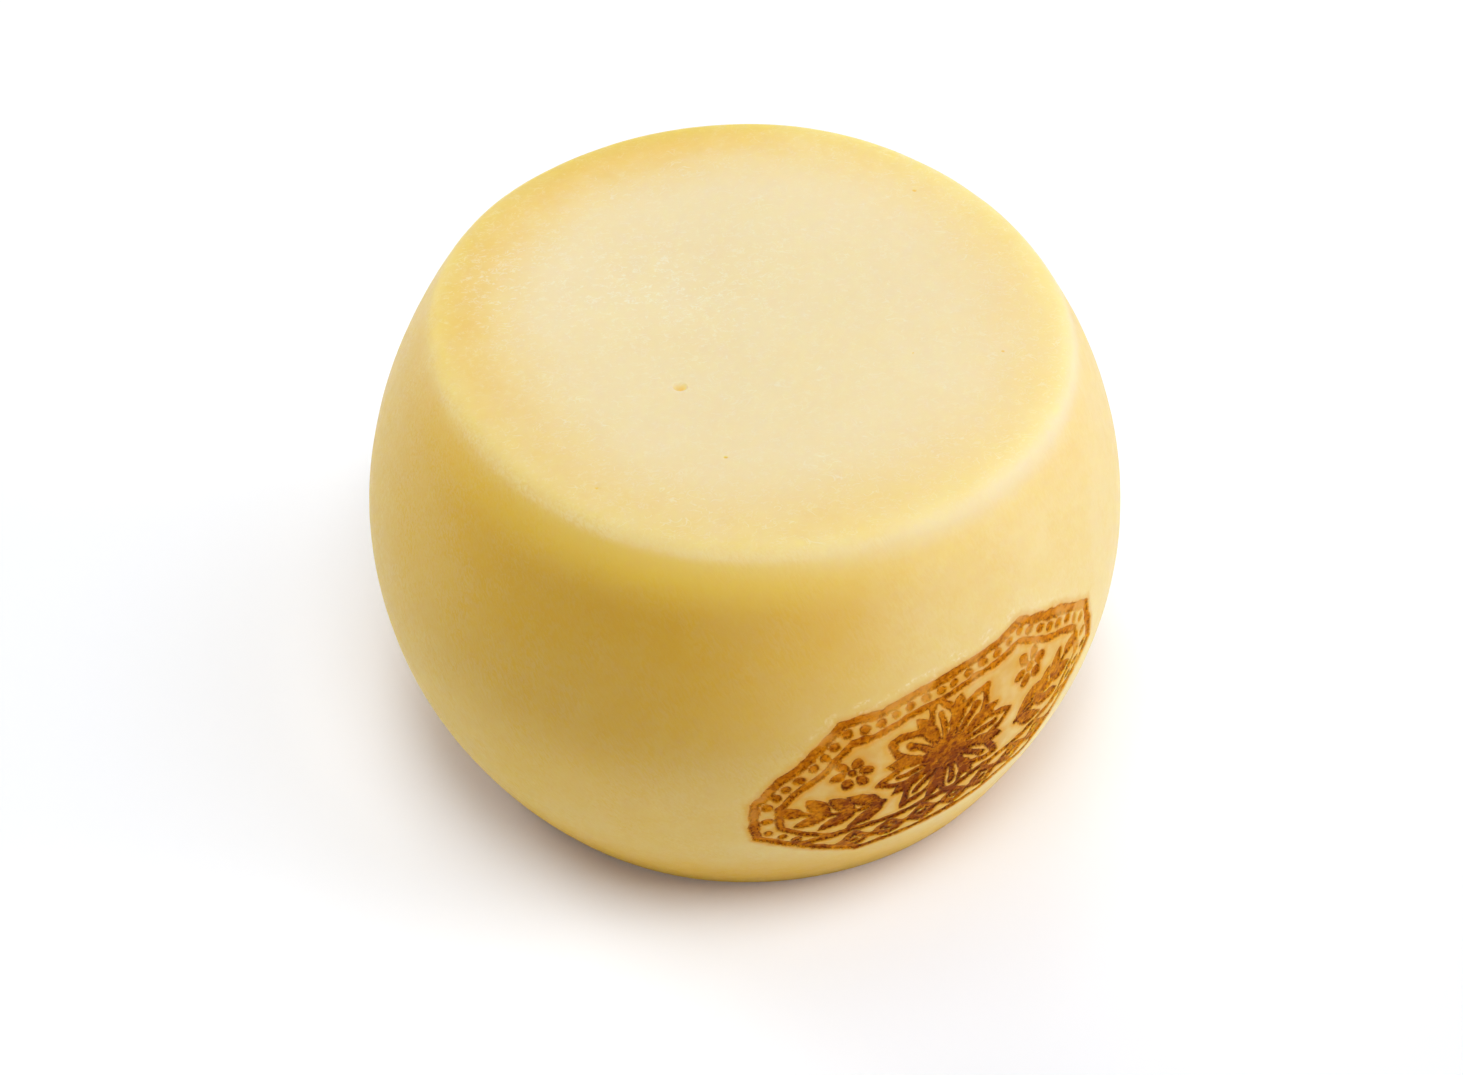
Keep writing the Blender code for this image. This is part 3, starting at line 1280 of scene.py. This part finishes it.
@dataclass(frozen=True)
class BurnFinish:
    """The burnt strokes: amber and brown, beaded with char along their edges, in paler pressed rind.

    Contact is how well the iron touched the rind, which decides how dark a stroke is. The rise of something
    along a stroke's edge is given by the signed distance to that edge, in millimetres.
    """

    pressed: Color = Color(0.65, 0.36, 0.080)
    lifted: Color = Color(0.88, 0.80, 0.60)
    halo: Color = Color(0.67, 0.30, 0.020)
    toffee: Color = Color(0.62, 0.225, 0.004)
    amber: Color = Color(0.46, 0.138, 0.001)
    brown: Color = Color(0.22, 0.042, 0.0003)
    char: Color = Color(0.080, 0.010, 0.0001)
    pressed_cover: float = 0.95
    pressed_unevenness: Pattern = Pattern(5.0, spread=Span(0.3, 0.65, 0.4, 1.0))
    lifted_cover: float = 0.55
    flakes: Pattern = Pattern(0.8, spread=Span(0.40, 0.62))
    ragged: Pattern = Pattern(0.60)
    ragged_width_mm: float = 0.60
    bleed_mm: float = 0.18
    contact: Pattern = Pattern(5.0, spread=Span(0.30, 0.60))
    contact_weight: float = 0.30
    heat_weight: float = 0.66
    halo_rise: Span = Span(1.5, -0.3)
    halo_cover: Span = Span(0.0, 0.6, 0.5, 1.0)
    coarse: Pattern = Pattern(1.6)
    coarse_weight: float = 1.5
    mottle: Pattern = Pattern(0.75)
    mottle_weight: float = 1.6
    depth_from_contact: float = 1.25
    depth_at_rest: float = -0.08
    rim_inset_mm: float = 0.22
    rim_rise: Span = Span(0.36, 0.08)
    rim_char: float = 0.28
    beads: Pattern = Pattern(0.60, 1.0, spread=Span(0.44, 0.56))
    spots: Pattern = Pattern(0.65, 1.0, spread=Span(0.54, 0.66, 0.0, 0.8))
    stroke_rise: Span = Span(0.20, -0.20)
    stroke_cover: Span = Span(0.0, 0.3, 0.55, 1.0)

    def over(self, wiring: Wiring, rind: Value) -> tuple[Value, Value]:
        """Lay the pressed rind and the burnt strokes over the rind's colour.

        Args:
            wiring: the material's nodes.
            rind: the rind's colour.

        Returns:
            How burnt the rind is, from 0 to 1, and the colour with the strokes.
        """
        ragged = wiring.centred(self.ragged) * self.ragged_width_mm
        edge = wiring.attribute("mark_edge_mm") + ragged - self.bleed_mm
        uneven = wiring.noise(self.contact) * self.contact_weight
        contact = uneven + wiring.attribute("iron_heat") * self.heat_weight
        halo = edge.through(self.halo_rise) * contact.through(self.halo_cover)
        color = wiring.mix(halo, self._around(wiring, rind), self.halo)
        burnt = edge.through(self.stroke_rise) * contact.through(self.stroke_cover)
        return burnt, wiring.mix(burnt, color, self._stroke(wiring, edge, contact))

    def _around(self, wiring: Wiring, rind: Value) -> Value:
        """Lay the pressed field and the thin pale flakes round it over the rind's colour.

        Args:
            wiring: the material's nodes.
            rind: the rind's colour.

        Returns:
            The colour round the strokes.
        """
        uneven = wiring.noise(self.pressed_unevenness)
        pressed = wiring.attribute("pressed") * self.pressed_cover * uneven
        lifted = wiring.attribute("lifted") * wiring.noise(self.flakes) * self.lifted_cover
        return wiring.mix(lifted, wiring.mix(pressed, rind, self.pressed), self.lifted)

    def _stroke(self, wiring: Wiring, edge: Value, contact: Value) -> Value:
        """Colour the strokes themselves.

        Args:
            wiring: the material's nodes.
            edge: the signed distance to the nearest stroke's ragged edge, in millimetres.
            contact: how well the iron touched the rind.

        Returns:
            The strokes' colour.
        """
        coarse = wiring.centred(self.coarse) * self.coarse_weight
        mottle = wiring.centred(self.mottle) * self.mottle_weight
        depth = contact * self.depth_from_contact + coarse + mottle + self.depth_at_rest
        color = wiring.ramp(depth, (self.toffee, self.amber, self.brown))
        rim = abs(edge + self.rim_inset_mm).through(self.rim_rise)
        beaded = rim * wiring.noise(self.beads) * (contact + self.rim_char)
        spotted = wiring.noise(self.spots) * contact
        return wiring.mix(wiring.math("MAXIMUM", beaded, spotted), color, self.char)


@dataclass(frozen=True)
class Threads:
    """Short curled threads: how they curl, and how long their pieces run."""

    curl: Pattern
    run: Pattern


@dataclass(frozen=True)
class RindFinish:
    """The rind: pale cream on the top face, golden round its rim and down the side, waxy and translucent.

    Short whitish threads of dried curd cover the top face, and fine crinkles cover the side. Light and shade
    are painted into the colour: the crinkles' pale crests and dark troughs, a highlight on the rim's crest,
    a glow and shade below the rim, and gold that deepens where the side gets less light.
    """

    cream: Color = Color(0.782, 0.667, 0.403)
    straw: Color = Color(0.772, 0.622, 0.305)
    golden: Color = Color(0.745, 0.534, 0.172)
    amber: Color = Color(0.725, 0.464, 0.065)
    # Colour of the painted glow just below the rim.
    painted_glow: Color = Color(0.735, 0.545, 0.082)
    # Colour of the painted shade below the rim and on the far rim.
    brown: Color = Color(0.49, 0.285, 0.034)
    # Deep orange for the lower side and two stretches of it.
    deep_orange: Color = Color(0.69, 0.335, 0.035)
    blush: Color = Color(0.785, 0.645, 0.41)
    thread: Color = Color(0.80, 0.755, 0.575)
    # Pale colour of the painted highlight along the rim's crest.
    painted_highlight: Color = Color(0.705, 0.625, 0.60)
    pit: Color = Color(0.80, 0.57, 0.13)
    # Darker orange towards the bottom of each pit.
    pit_core: Color = Color(0.60, 0.31, 0.03)
    pit_rise: Span = Span(0.0, 0.5)
    pit_core_rise: Span = Span(0.5, 1.0)
    broad: Pattern = Pattern(15.0, 3.0, spread=Span(0.3, 0.7, -0.05, 0.05))
    mottle: Pattern = Pattern(3.6, 3.0, 0.5, Span(0.3, 0.7, -0.03, 0.03))
    blushing: Pattern = Pattern(6.5, 2.0, 0.3, Span(0.5, 0.75, 0.0, 0.08))
    thread_turn: Triple = (0.0, 0.0, math.radians(14))
    thread_stretch: Triple = (1.5, 1.0, 1.0)
    thread_width_mm: float = 0.052
    thread_cover: Span = Span(0.15, 0.65, 1.0, 0.42)
    long_threads: Threads = Threads(Pattern(2.4, 2.0, 1.0), Pattern(1.6, 1.0, spread=Span(0.44, 0.60)))
    long_patches: Pattern = Pattern(9.0, spread=Span(0.36, 0.62, 0.25, 1.0))
    long_cover: float = 0.62
    fine_threads: Threads = Threads(Pattern(0.95, 2.0, 1.0), Pattern(1.1, 1.0, spread=Span(0.44, 0.60)))
    fine_cover: float = 0.30
    fine_cover_where_dense: float = 0.70
    crinkle_turn: Triple = (math.radians(-17), math.radians(-32), 0.0)
    crinkle_stretch: Triple = (1.0, 1.0, 3.2)
    fine_crinkles: Pattern = Pattern(0.42, 3.0, 0.8, Span(0.34, 0.66, -1.0, 1.0))
    broad_crinkles: Pattern = Pattern(6.0, spread=Span(0.34, 0.64, 0.35, 1.0))
    # Paints crinkle crests paler and troughs darker: painted light and shade beside the real bump.
    crinkle_shade: float = 0.20
    crinkle_height: float = 1.5
    grain: Pattern = Pattern(0.5, 3.0)
    grain_height: float = 0.5
    line_height: float = 0.4
    bump_strength: float = 0.35
    bump_depth: float = 0.12 * MM
    roughness: Pattern = Pattern(2.2, spread=Span(0.3, 0.7, 0.45, 0.55))
    burnt_roughness: float = 0.2
    refraction: float = 1.40
    specular: float = 0.10
    specular_tint: Color = Color(1.0, 0.80, 0.45)
    sheen: float = 0.01
    sheen_tint: Color = Color(1.0, 0.95, 0.85)
    sheen_roughness: float = 0.45
    subsurface: float = 1.0
    subsurface_radius: Triple = (1.0, 0.8, 0.12)
    subsurface_depth: float = 26.0 * MM

    def color(self, wiring: Wiring) -> tuple[Value, Value]:
        """Build the rind's colour.

        Args:
            wiring: the material's nodes.

        Returns:
            The colour, and the height of the threads and crinkles that go with it.
        """
        on_top = wiring.attribute("on_top")
        crinkles = self.crinkles(wiring) * (1.0 - on_top)
        clouding = wiring.noise(self.broad) + wiring.noise(self.mottle)
        # The crinkles paint their crests paler and their troughs darker: painted light and shade.
        gold = wiring.attribute("gold") + clouding - crinkles * self.crinkle_shade
        color = wiring.ramp(gold, (self.cream, self.straw, self.golden, self.amber))
        threads = self.threads(wiring) * on_top
        pit = wiring.attribute("pit")
        layers = (
            # Painted glow just below the rim.
            (wiring.attribute("painted_glow"), self.painted_glow),
            # Painted shade below the rim and on the far rim.
            (wiring.attribute("painted_shade"), self.brown),
            (wiring.attribute("deep_orange"), self.deep_orange),
            (wiring.noise(self.blushing) * on_top, self.blush),
            (threads * gold.through(self.thread_cover), self.thread),
            # Painted highlight along the crest of the top rim.
            (wiring.attribute("crest_highlight"), self.painted_highlight),
            (pit.through(self.pit_rise), self.pit),
            (pit.through(self.pit_core_rise), self.pit_core),
        )
        for cover, layer in layers:
            color = wiring.mix(cover, color, layer)
        return color, threads + crinkles * self.crinkle_height

    def threads(self, wiring: Wiring) -> Value:
        """Lay threads of dried curd, long ones everywhere and fine ones where they are dense.

        Args:
            wiring: the material's nodes.

        Returns:
            How much of each place a thread covers, from 0 to 1.
        """
        long = self.curls(wiring, self.long_threads) * wiring.noise(self.long_patches)
        fine_cover = wiring.attribute("dense") * self.fine_cover_where_dense + self.fine_cover
        fine = self.curls(wiring, self.fine_threads) * fine_cover
        return wiring.math("MAXIMUM", long * self.long_cover, fine)

    def curls(self, wiring: Wiring, threads: Threads) -> Value:
        """Draw short curled lines: pieces of the level lines of a noise.

        Args:
            wiring: the material's nodes.
            threads: how the lines curl and run.

        Returns:
            How much of each place a line covers, from 0 to 1.
        """
        drawn = wiring.drawn_out(self.thread_stretch, self.thread_turn)
        width = self.thread_width_mm / threads.curl.size_mm
        lines = abs(wiring.centred(threads.curl, drawn)).through(Span(width, 0.0))
        return lines * wiring.noise(threads.run, drawn)

    def crinkles(self, wiring: Wiring) -> Value:
        """Crinkle the dried skin of the side.

        Args:
            wiring: the material's nodes.

        Returns:
            How high each place lies: above 0 on crests, below 0 in troughs. The colour uses it as well,
                painting
            the crests paler and the troughs darker: painted light and shade.
        """
        drawn = wiring.drawn_out(self.crinkle_stretch, self.crinkle_turn)
        fine = wiring.noise(self.fine_crinkles, drawn)
        return fine * wiring.noise(self.broad_crinkles) * wiring.attribute("crinkled")

    def dress(self, piece: bpy.types.Object, burn: BurnFinish) -> None:
        """Give a piece this rind.

        Args:
            piece: the piece, whose mesh holds the values that the finish reads.
            burn: the finish of the burnt strokes over it.
        """
        wiring = Wiring("cheese_rind")
        color, lines = self.color(wiring)
        burnt, color = burn.over(wiring, color)
        relief = {
            "Strength": self.bump_strength,
            "Distance": self.bump_depth,
            "Height": wiring.noise(self.grain) * self.grain_height + lines * self.line_height,
        }
        look = {
            "Base Color": color,
            "Normal": wiring.result("Bump", relief),
            "Roughness": wiring.noise(self.roughness) + burnt * self.burnt_roughness,
            "IOR": self.refraction,
            "Specular IOR Level": self.specular,
            "Specular Tint": self.specular_tint,
            "Sheen Weight": self.sheen,
            "Sheen Tint": self.sheen_tint,
            "Sheen Roughness": self.sheen_roughness,
            "Subsurface Weight": self.subsurface,
            "Subsurface Radius": self.subsurface_radius,
            "Subsurface Scale": self.subsurface_depth,
        }
        wiring.feed(wiring.shader, look)
        piece.data.materials.append(wiring.material)


@dataclass(frozen=True)
class PaperFinish:
    """The floor's paper: plain, almost white and quite matt."""

    color: Color = Color(0.94, 0.96, 1.0)
    roughness: float = 1.0
    specular: float = 0.0

    def dress(self, floor: bpy.types.Object) -> None:
        """Cover the floor with this paper.

        Args:
            floor: the floor.
        """
        wiring = Wiring("floor_paper")
        look = {"Base Color": self.color, "Roughness": self.roughness, "Specular IOR Level": self.specular}
        wiring.feed(wiring.shader, look)
        floor.data.materials.append(wiring.material)


# --- The cheese --------------------------------------------------------------------------------------------


@dataclass
class HeadOfCheese:
    """The head of cheese: its fine surface, its pits, its mark and its rind.

    The foot lies flat, so whatever moves the surface fades out close to the floor.
    """

    form: CheeseForm
    mark: HotIronMark = HotIronMark()
    relief: SoftRelief = SoftRelief()
    tint: RindTint = RindTint()
    rind: RindFinish = RindFinish()
    burn: BurnFinish = BurnFinish()
    pits: tuple[CurdPit, ...] = (
        CurdPit(-10.4, -17.1, 1.2, 1.0, 0.75, math.radians(8), color_share=0.5),
        CurdPit(-3.0, -32.6, 0.38, 0.26, 0.30),
        CurdPit(29.1, 34.1, 0.42, 0.30, 0.30),
        CurdPit(42.1, -5.6, 0.30, 0.25, 0.25),
        CurdPit(27.3, -7.5, 0.20, 0.18, 0.18),
        CurdPit(-23.0, -39.6, 0.28, 0.22, 0.20),
    )
    mark_cuts: int = 3
    pit_cuts: tuple[int, ...] = (2, 2)
    most_corners: int = 4
    off_floor: Span = Span(0.0, 2.0 * MM)

    def build(self) -> bpy.types.Object:
        """Build the surface in full detail, with the values that its finish reads.

        Returns:
            The piece.
        """
        bm = self._flat_map()
        along, bearing = map_coordinates(bm)
        places = self.form.places(along, bearing)
        for vert, place in zip(bm.verts, places):
            vert.co = place
        bmesh.ops.recalc_face_normals(bm, faces=bm.faces)
        mesh = bpy.data.meshes.new("head_of_cheese")
        bm.to_mesh(mesh)
        bm.free()
        u, v = self.mark.spread(self.form, along, bearing)
        edge_mm = self.mark.edge_mm(u, v)
        self._push_out(mesh, places, edge_mm)
        # The renderer keeps the plain name heat for smoke, so the iron's heat has a longer one.
        values = {
            "mark_edge_mm": edge_mm,
            "pressed": self.mark.pressed(u, v),
            "lifted": self.mark.lifted(u, v),
            "iron_heat": self.mark.heat(u, v),
            "on_top": 1 - smooth_step(along, self.form.face_end, self.form.edge_end),
            "pit": np.maximum.reduce([pit.color_share * pit.depth_share(places) for pit in self.pits]),
            **self.tint.values(self.form, along, bearing, places),
        }
        for name, held in values.items():
            layer = mesh.attributes.new(name, "FLOAT", "POINT")
            layer.data.foreach_set("value", held.astype(np.float32))
        mesh.shade_smooth()
        piece = bpy.data.objects.new("head_of_cheese", mesh)
        bpy.context.scene.collection.objects.link(piece)
        return piece

    def dress(self, piece: bpy.types.Object) -> None:
        """Give the head its rind and its burnt strokes."""
        self.rind.dress(piece, self.burn)

    def _flat_map(self) -> bmesh.types.BMesh:
        """Lay out the rind, finer where the mark and the pits lie.

        Returns:
            The flat map.
        """
        bm = RindMap(self.form).build()
        refine(bm, lambda along, bearing: self.mark.covers(self.form, along, bearing), self.mark_cuts)
        spots = []
        for pit in self.pits:
            along, bearing = self.form.nearest(pit.x_mm * MM, pit.y_mm * MM)
            middle = (along * math.cos(bearing), along * math.sin(bearing))
            spots.append((middle, pit.half_length_mm * pit.skirt * MM))

        def near_pit(along: float, bearing: float) -> bool:
            """Say whether a place on the rind is close to a pit."""
            flat = (along * math.cos(bearing), along * math.sin(bearing))
            return any(math.dist(flat, middle) < reach for middle, reach in spots)

        for cuts in self.pit_cuts:
            refine(bm, near_pit, cuts)
        bmesh.ops.triangulate(bm, faces=[face for face in bm.faces if len(face.verts) > self.most_corners])
        return bm

    def _push_out(self, mesh: bpy.types.Mesh, places: Array, edge_mm: Array) -> None:
        """Move the surface along its normals by the relief, the grooves and the pits.

        Args:
            mesh: the surface.
            places: the x, y and z of its corners.
            edge_mm: each corner's signed distance to the nearest stroke's edge.
        """
        normals = np.empty(len(mesh.vertices) * 3, np.float32)
        mesh.vertex_normals.foreach_get("vector", normals)
        push = self.relief.relief_mm(places) + self.mark.relief_mm(edge_mm)
        push = push + sum(pit.relief_mm(places) for pit in self.pits)
        push = push * self.off_floor.at(places[:, 2]) * MM
        moved = places + normals.reshape(-1, 3) * push[:, None]
        mesh.vertices.foreach_set("co", moved.astype(np.float32).ravel())
        mesh.update()


# --- The studio --------------------------------------------------------------------------------------------


@dataclass(frozen=True)
class SoftBox:
    """One big soft white lamp, so far off that it lights the whole floor alike.

    At strength 1, white paper that faces it comes out white.
    """

    name: str
    bearing: float
    elevation: float
    strength: float
    width: float = math.radians(27)

    def build(self) -> None:
        """Hang the lamp and point it at the cheese."""
        lamp = bpy.data.lights.new(self.name, "SUN")
        lamp.angle = self.width
        lamp.energy = self.strength * math.pi
        piece = bpy.data.objects.new(self.name, lamp)
        bpy.context.scene.collection.objects.link(piece)
        level = math.cos(self.elevation)
        x, y = level * math.cos(self.bearing), level * math.sin(self.bearing)
        away = Vector((x, y, math.sin(self.elevation)))
        piece.rotation_mode = "QUATERNION"
        piece.rotation_quaternion = (-away).to_track_quat("-Z", "Y")


@dataclass
class Studio:
    """The plain pale floor, the soft lamps and the camera at the photograph's angle."""

    form: CheeseForm
    camera_elevation: float = math.radians(44.89)
    camera_distance: float = 551.46 * MM
    lens_mm: float = 78.27
    sensor_mm: float = 36.0
    belly_centre_px: tuple[float, float] = (742.64, 498.93)
    floor_half_size: float = 3.0
    paper: PaperFinish = PaperFinish()
    lamps: tuple[SoftBox, ...] = (
        SoftBox("right_lamp", math.radians(0), math.radians(15), 0.430),
        SoftBox("back_left_lamp", math.radians(135), math.radians(15), 0.405),
        SoftBox("back_lamp", math.radians(90), math.radians(35), 0.103),
        SoftBox("front_lamp", math.radians(270), math.radians(35), 0.188),
        SoftBox("upper_right_lamp", math.radians(0), math.radians(55), 0.161),
        SoftBox("overhead_back_lamp", math.radians(120), math.radians(75), 0.139),
        SoftBox("overhead_left_lamp", math.radians(240), math.radians(75), 0.173),
        SoftBox("overhead_front_lamp", math.radians(300), math.radians(75), 0.324),
    )

    def build(self) -> None:
        """Build everything round the cheese."""
        self.floor()
        self.camera()
        self.darken()
        for lamp in self.lamps:
            lamp.build()
        bpy.context.scene.view_settings.view_transform = "Standard"

    def floor(self) -> None:
        """Lay the floor and cover it with paper."""
        bm = bmesh.new()
        bmesh.ops.create_grid(bm, x_segments=1, y_segments=1, size=self.floor_half_size)
        mesh = bpy.data.meshes.new("floor")
        bm.to_mesh(mesh)
        bm.free()
        floor = bpy.data.objects.new("floor", mesh)
        self.paper.dress(floor)
        bpy.context.scene.collection.objects.link(floor)
        floor.location.z = CAD_BOX[0].z

    def camera(self) -> None:
        """Put the camera where the photograph was taken from."""
        data = bpy.data.cameras.new("photo_camera")
        data.sensor_fit = "HORIZONTAL"
        data.sensor_width = self.sensor_mm
        data.lens = self.lens_mm
        camera = bpy.data.objects.new("photo_camera", data)
        bpy.context.scene.collection.objects.link(camera)
        back = Vector((0.0, -math.cos(self.camera_elevation), math.sin(self.camera_elevation)))
        camera.location = self.form.belly_centre + back * self.camera_distance
        focal_px = self.lens_mm / self.sensor_mm * PHOTO_SIZE_PX[0]
        aside = (self.belly_centre_px[0] - PHOTO_SIZE_PX[0] / 2) / focal_px
        below = (self.belly_centre_px[1] - PHOTO_SIZE_PX[1] / 2) / focal_px
        seen = Vector((aside, -below, -1.0))
        camera.rotation_mode = "QUATERNION"
        off_axis = seen.rotation_difference(Vector((0.0, 0.0, -1.0)))
        camera.rotation_quaternion = (-back).to_track_quat("-Z", "Y") @ off_axis
        bpy.context.scene.camera = camera

    def darken(self) -> None:
        """Leave everything round the studio dark, so that only the lamps light it."""
        world = bpy.data.worlds.new("dark_room")
        world.use_nodes = True
        world.node_tree.nodes["Background"].inputs["Strength"].default_value = 0.0
        bpy.context.scene.world = world


def main() -> None:
    """Build the cheese and the studio, and report each piece."""
    logging.basicConfig(level=logging.INFO, format="%(name)s: %(message)s")
    form = CheeseForm(CAD_BOX)
    head = HeadOfCheese(form)
    piece = head.build()
    head.dress(piece)
    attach(piece, BODY)
    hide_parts(CHEESE_NODE)
    LOG.info("%s: %d corners, %d faces", piece.name, len(piece.data.vertices), len(piece.data.polygons))
    Studio(form).build()


if __name__ == "__main__":
    main()
